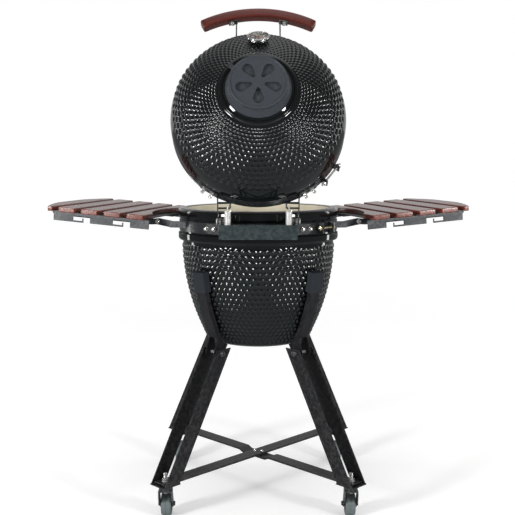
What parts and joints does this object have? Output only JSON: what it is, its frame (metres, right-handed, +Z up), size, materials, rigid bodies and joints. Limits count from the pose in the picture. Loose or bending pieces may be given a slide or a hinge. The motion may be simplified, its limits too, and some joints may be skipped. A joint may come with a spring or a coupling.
{
  "type": "kamado ceramic grill",
  "caption": "Kamado grill: dimpled glazed ceramic pot with hinged domed lid, vent cap, folding slatted side tables and a four-legged stand on casters.",
  "frame": {"origin": "on the floor, under the axis of the round pot", "axes": "+Z up, +X to the right across the two side tables, -Y towards the lid's hinge, so the handle and the draft door face +Y"},
  "size_m": [1.3768, 0.8901, 1.5966],
  "materials": {
    "glazed_ceramic": "high-gloss dimpled kiln glaze over ceramic, opaque",
    "unglazed_ceramic": "matt unglazed refractory ceramic, opaque",
    "felt_gasket": "pressed felt",
    "cast_iron_grate": "seasoned cast iron",
    "stainless_grate": "brushed stainless bars",
    "black_strap": "satin black powder coat",
    "hinge_cover_paint": "dark blue-green satin powder coat",
    "plated_steel": "bright zinc plate",
    "spring_steel": "plain spring wire",
    "draft_steel": "brushed stainless sheet",
    "cast_vent_metal": "dark grey painted casting",
    "stand_paint": "satin black powder coat",
    "pad_rubber": "blue-grey rubber sleeve",
    "table_frame_paint": "dark blue-grey powder coat",
    "table_wood": "red-brown stained hardwood with a clear coat",
    "handle_wood": "red-brown stained hardwood with a clear coat",
    "thermometer_chrome": "polished",
    "dial_face": "printed card",
    "needle_red": "enamel",
    "dial_glass": "clear",
    "fork_paint": "black e-coat",
    "wheel_rubber": "grey-green non-marking rubber"
  },
  "bodies": {
    "base": {"pot": "glazed_ceramic", "pot_gasket": "felt_gasket", "firebox": "unglazed_ceramic", "fire_ring": "unglazed_ceramic", "charcoal_grate": "cast_iron_grate", "cooking_grate": "stainless_grate", "pot_band": "black_strap", "pot_band_bolts": "plated_steel", "hinge_base": "black_strap", "hinge_cover": "hinge_cover_paint", "hinge_pins": "plated_steel", "hinge_springs": "spring_steel", "draft_frame": "cast_vent_metal", "draft_screen": "stainless_grate", "leg_front_right": "stand_paint", "leg_front_left": "stand_paint", "leg_rear_left": "stand_paint", "leg_rear_right": "stand_paint", "cradle_arm_front_right": "stand_paint", "cradle_arm_front_left": "stand_paint", "cradle_arm_rear_left": "stand_paint", "cradle_arm_rear_right": "stand_paint", "cradle_pads": "pad_rubber", "stand_bolts": "plated_steel", "brace_upper": "stand_paint", "brace_lower": "stand_paint", "foot_plates": "stand_paint", "caster_stems": "plated_steel", "table_brackets": "table_frame_paint", "table_pins": "plated_steel"},
    "draft_door": {"draft_door": "draft_steel"},
    "lid": {"lid_dome": "glazed_ceramic", "lid_gasket": "felt_gasket", "lid_band": "black_strap", "lid_band_bolts": "plated_steel", "hinge_arms": "black_strap", "handle_bar": "handle_wood", "handle_brackets": "black_strap", "handle_bolts": "plated_steel", "thermometer_case": "thermometer_chrome", "thermometer_dial": "dial_face", "thermometer_lens": "dial_glass", "vent_collar": "cast_vent_metal", "vent_cap": "cast_vent_metal"},
    "vent_disc": {"vent_disc": "cast_vent_metal"},
    "needle": {"thermometer_needle": "needle_red"},
    "table_left": {"table_frame_left": "table_frame_paint", "table_slats_left": "table_wood", "table_screws_left": "plated_steel"},
    "table_right": {"table_frame_right": "table_frame_paint", "table_slats_right": "table_wood", "table_screws_right": "plated_steel"},
    "caster_front_right": {"caster_fork_front_right": "fork_paint"},
    "wheel_front_right": {"caster_wheel_front_right": "wheel_rubber"},
    "caster_front_left": {"caster_fork_front_left": "fork_paint"},
    "wheel_front_left": {"caster_wheel_front_left": "wheel_rubber"},
    "caster_rear_left": {"caster_fork_rear_left": "fork_paint"},
    "wheel_rear_left": {"caster_wheel_rear_left": "wheel_rubber"},
    "caster_rear_right": {"caster_fork_rear_right": "fork_paint"},
    "wheel_rear_right": {"caster_wheel_rear_right": "wheel_rubber"}
  },
  "joints": [
    {"name": "lid_hinge", "type": "hinge", "parent": "base", "child": "lid", "pos_m": [0, -0.299, 0.937], "axis": [-1, 0, 0], "range_deg": [0, 65], "deforming": ["hinge_springs"]},
    {"name": "vent_disc_turn", "type": "hinge", "parent": "lid", "child": "vent_disc", "pos_m": [0, -0.4409, 1.33308], "axis": [0, -0.9063, 0.4226], "range_deg": [0, 36]},
    {"name": "thermometer_needle_turn", "type": "hinge", "parent": "lid", "child": "needle", "pos_m": [0, -0.32179, 1.47358], "axis": [0, 0.5166, -0.8562], "range_deg": [0, 270]},
    {"name": "draft_door_slide", "type": "slide", "parent": "base", "child": "draft_door", "axis": [1, 0, 0], "range_m": [0, 0.09]},
    {"name": "table_left_fold", "type": "hinge", "parent": "base", "child": "table_left", "pos_m": [-0.28295, 0.07212, 0.921], "axis": [-0.247, -0.969, 0], "range_deg": [0, 94]},
    {"name": "table_right_fold", "type": "hinge", "parent": "base", "child": "table_right", "pos_m": [0.28295, 0.07212, 0.921], "axis": [-0.247, 0.969, 0], "range_deg": [0, 94]},
    {"name": "caster_swivel_front_right", "type": "hinge", "parent": "base", "child": "caster_front_right", "pos_m": [0.28991, 0.28991, 0.1], "axis": [0, 0, 1], "continuous": true},
    {"name": "wheel_spin_front_right", "type": "hinge", "parent": "caster_front_right", "child": "wheel_front_right", "pos_m": [0.28991, 0.25491, 0.0375], "axis": [1, 0, 0], "continuous": true},
    {"name": "caster_swivel_front_left", "type": "hinge", "parent": "base", "child": "caster_front_left", "pos_m": [-0.28991, 0.28991, 0.1], "axis": [0, 0, 1], "continuous": true},
    {"name": "wheel_spin_front_left", "type": "hinge", "parent": "caster_front_left", "child": "wheel_front_left", "pos_m": [-0.28991, 0.25491, 0.0375], "axis": [1, 0, 0], "continuous": true},
    {"name": "caster_swivel_rear_left", "type": "hinge", "parent": "base", "child": "caster_rear_left", "pos_m": [-0.28991, -0.28991, 0.1], "axis": [0, 0, 1], "continuous": true},
    {"name": "wheel_spin_rear_left", "type": "hinge", "parent": "caster_rear_left", "child": "wheel_rear_left", "pos_m": [-0.28991, -0.25491, 0.0375], "axis": [1, 0, 0], "continuous": true},
    {"name": "caster_swivel_rear_right", "type": "hinge", "parent": "base", "child": "caster_rear_right", "pos_m": [0.28991, -0.28991, 0.1], "axis": [0, 0, 1], "continuous": true},
    {"name": "wheel_spin_rear_right", "type": "hinge", "parent": "caster_rear_right", "child": "wheel_rear_right", "pos_m": [0.28991, -0.25491, 0.0375], "axis": [1, 0, 0], "continuous": true}
  ]
}
